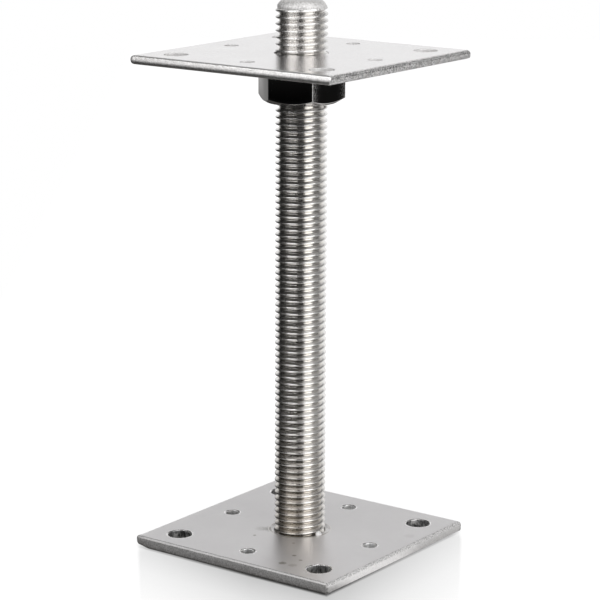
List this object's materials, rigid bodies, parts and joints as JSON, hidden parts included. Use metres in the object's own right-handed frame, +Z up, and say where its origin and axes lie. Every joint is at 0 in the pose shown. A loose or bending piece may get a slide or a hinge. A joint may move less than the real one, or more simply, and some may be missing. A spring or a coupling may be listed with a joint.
{
  "type": "adjustable post base",
  "caption": "Square steel foot plate with an upright threaded rod, and a square head plate that a nut on the rod raises and lowers to level a post.",
  "frame": {"origin": "middle of the foot plate's underside, on the rod's axis", "axes": "+Z up along the rod, +X and +Y square to the sides of both plates"},
  "size_m": [0.11, 0.11, 0.253],
  "materials": {
    "plate_steel": "satin, cut from cold-rolled stainless sheet",
    "rod_steel": "bright rolled thread",
    "weld_steel": "dull weld metal",
    "nut_steel": "bright, slightly mottled"
  },
  "bodies": {
    "foot": {"base_plate": "plate_steel", "threaded_rod": "rod_steel", "weld": "weld_steel"},
    "head": {"top_plate": "plate_steel"},
    "nut": {"adjusting_nut": "nut_steel"}
  },
  "joints": [
    {"name": "head_height", "type": "slide", "parent": "foot", "child": "head", "axis": [0, 0, 1], "range_m": [-0.201, 0.021]},
    {"name": "nut_turn", "type": "hinge", "parent": "head", "child": "nut", "pos_m": [0, 0, 0.2164], "axis": [0, 0, 1], "range_deg": [-24122, 2522]}
  ],
  "couplings": [
    {"joint": "nut_turn", "follows": "head_height", "rad_per_m": 2094.4}
  ]
}
